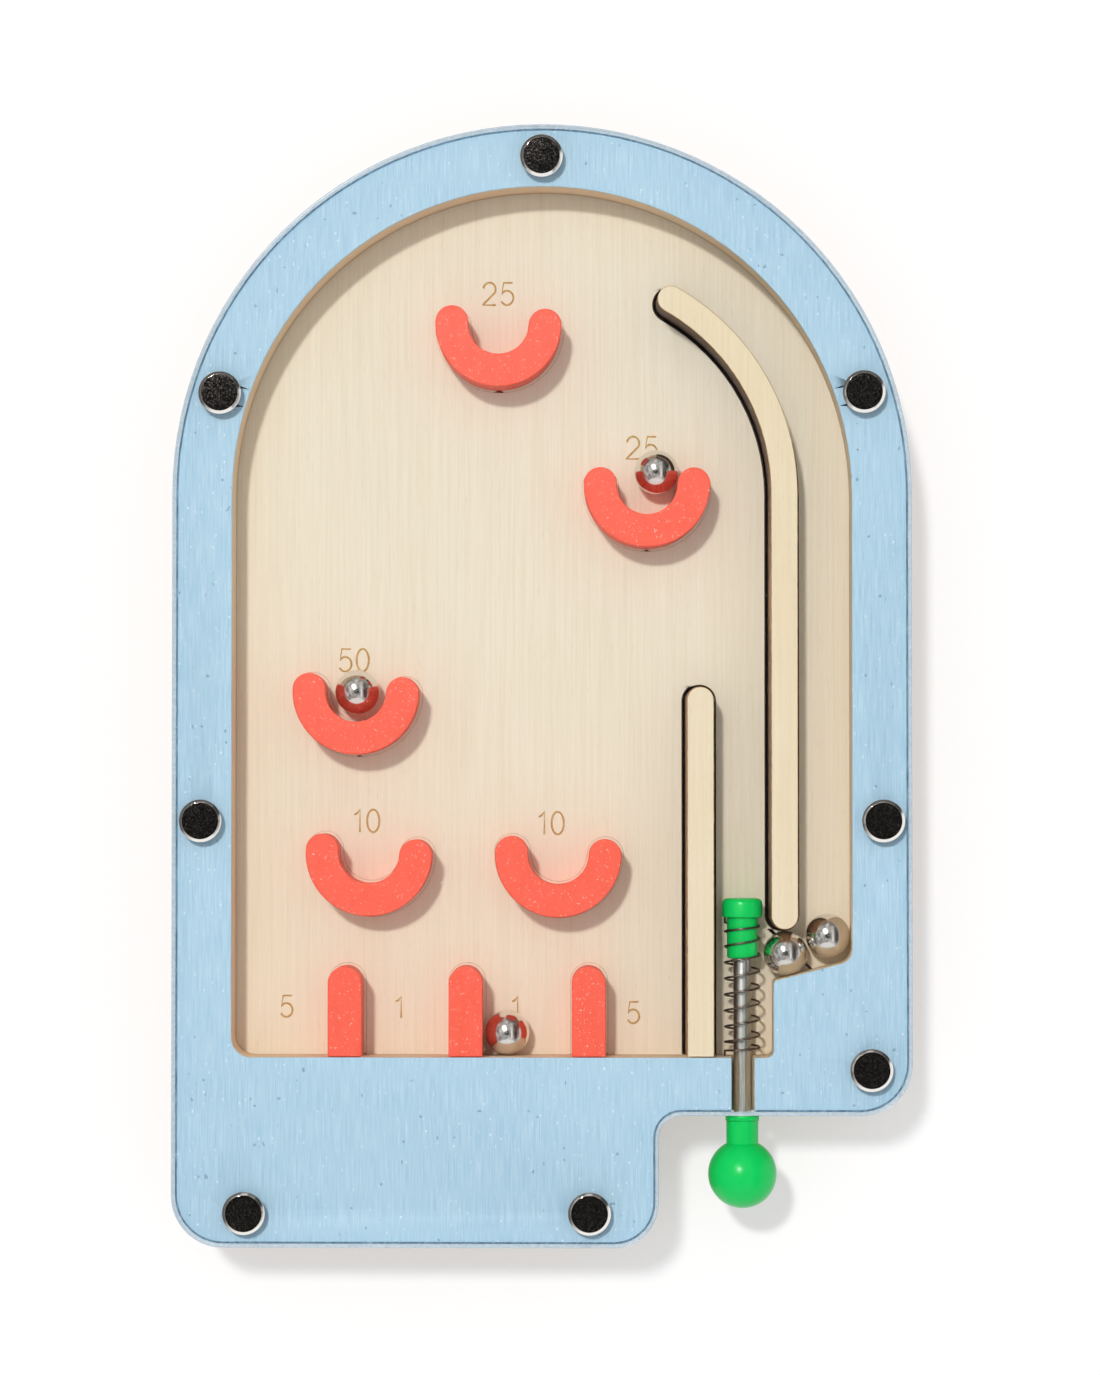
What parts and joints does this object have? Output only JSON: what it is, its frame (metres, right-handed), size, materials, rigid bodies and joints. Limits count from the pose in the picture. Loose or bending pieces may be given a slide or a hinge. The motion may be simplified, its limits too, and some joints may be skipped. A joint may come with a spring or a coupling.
{
  "type": "bagatelle board game",
  "caption": "Arched tabletop bagatelle: blue wooden frame, birch playfield with scoring cups and rails, clear cover, sprung plunger and steel balls.",
  "frame": {"origin": "middle of the back face, on the surface the game lies on", "axes": "+X to the plunger's side, +Y up the playfield to the arch, +Z out of the clear cover"},
  "size_m": [0.133, 0.202, 0.025],
  "materials": {
    "blue_painted_wood": "thin matt paint over plywood grain",
    "birch_ply": "bare, sanded birch plywood",
    "red_painted_wood": "satin coral paint",
    "clear_acrylic": "clear cast sheet with laser-cut edges",
    "nickel": "nickel plated, slightly pitted",
    "green_plastic": "soft glossy moulded plastic",
    "bright_steel": "drawn rod",
    "spring_steel": "drawn wire",
    "polished_steel": "polished ball bearing steel"
  },
  "bodies": {
    "case": {"back_plate": "birch_ply", "playfield_plate": "birch_ply", "frame_ring": "blue_painted_wood", "clear_cover": "clear_acrylic", "cover_pins": "nickel", "cup_25_top": "red_painted_wood", "cup_25_right": "red_painted_wood", "cup_50": "red_painted_wood", "cup_10_left": "red_painted_wood", "cup_10_right": "red_painted_wood", "divider_left": "red_painted_wood", "divider_middle": "red_painted_wood", "divider_right": "red_painted_wood", "short_rail": "birch_ply", "long_rail": "birch_ply", "plunger_spring": "spring_steel"},
    "plunger": {"plunger_tip": "green_plastic", "plunger_rod": "bright_steel", "plunger_knob": "green_plastic"},
    "ball_launch_lane": {"ball_launch_lane": "polished_steel"},
    "ball_return_lane": {"ball_return_lane": "polished_steel"},
    "ball_cup_25": {"ball_cup_25": "polished_steel"},
    "ball_cup_50": {"ball_cup_50": "polished_steel"},
    "ball_bin": {"ball_bin": "polished_steel"}
  },
  "joints": [
    {"name": "plunger_slide", "type": "slide", "parent": "case", "child": "plunger", "axis": [0, -1, 0], "range_m": [-0.0008, 0.016], "stiffness_N_per_m": 120, "deforming": ["plunger_spring"]},
    {"name": "return_lane_roll", "type": "slide", "parent": "case", "child": "ball_return_lane", "axis": [0, 1, 0], "range_m": [0, 0.075]},
    {"name": "cup_25_roll", "type": "slide", "parent": "case", "child": "ball_cup_25", "axis": [0, 1, 0], "range_m": [0, 0.024]},
    {"name": "cup_50_roll", "type": "slide", "parent": "case", "child": "ball_cup_50", "axis": [0, 1, 0], "range_m": [0, 0.07]},
    {"name": "bin_roll", "type": "slide", "parent": "case", "child": "ball_bin", "axis": [0, 1, 0], "range_m": [0, 0.018]},
    {"name": "launch_ball_spin", "type": "hinge", "parent": "case", "child": "ball_launch_lane", "pos_m": [0.04398, -0.04846, 0.0168], "axis": [1, 0, 0], "continuous": true}
  ]
}
